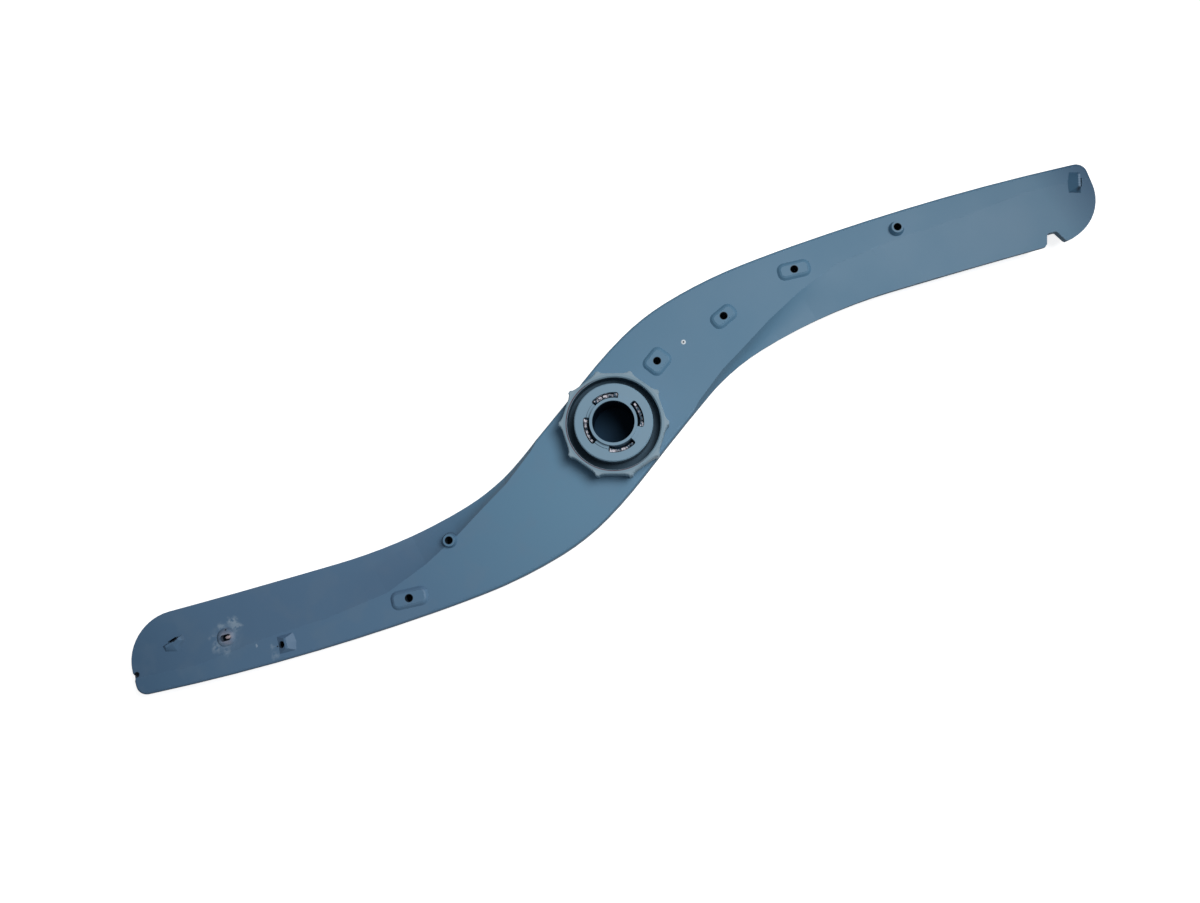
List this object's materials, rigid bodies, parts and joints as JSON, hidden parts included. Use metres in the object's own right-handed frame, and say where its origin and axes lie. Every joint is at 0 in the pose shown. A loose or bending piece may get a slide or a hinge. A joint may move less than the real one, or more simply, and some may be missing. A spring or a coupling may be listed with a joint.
{
  "type": "dishwasher spray arm",
  "caption": "Hollow S-shaped spray arm with raised jets, a clipped-in hub bush with an inlet tube, and a lobed union nut it turns under.",
  "frame": {"origin": "on the hub axis, at the level of the flat underside", "axes": "+X along the arm towards the tip with the notch in its trailing edge, +Z along the hub axis towards the inlet, +Y completes the frame"},
  "size_m": [0.4589, 0.0696, 0.0253],
  "materials": {
    "arm_plastic": "matt moulded polypropylene, grey blue",
    "bush_plastic": "matt moulded plastic, light grey blue",
    "nut_plastic": "matt moulded plastic, light grey blue"
  },
  "bodies": {
    "nut": {"union_nut": "nut_plastic"},
    "arm": {"upper_shell": "arm_plastic", "lower_shell": "arm_plastic", "hub_bush": "bush_plastic"}
  },
  "joints": [
    {"name": "arm_spin", "type": "hinge", "parent": "nut", "child": "arm", "pos_m": [0, 0, 0.0143], "axis": [0, 0, 1], "continuous": true}
  ]
}
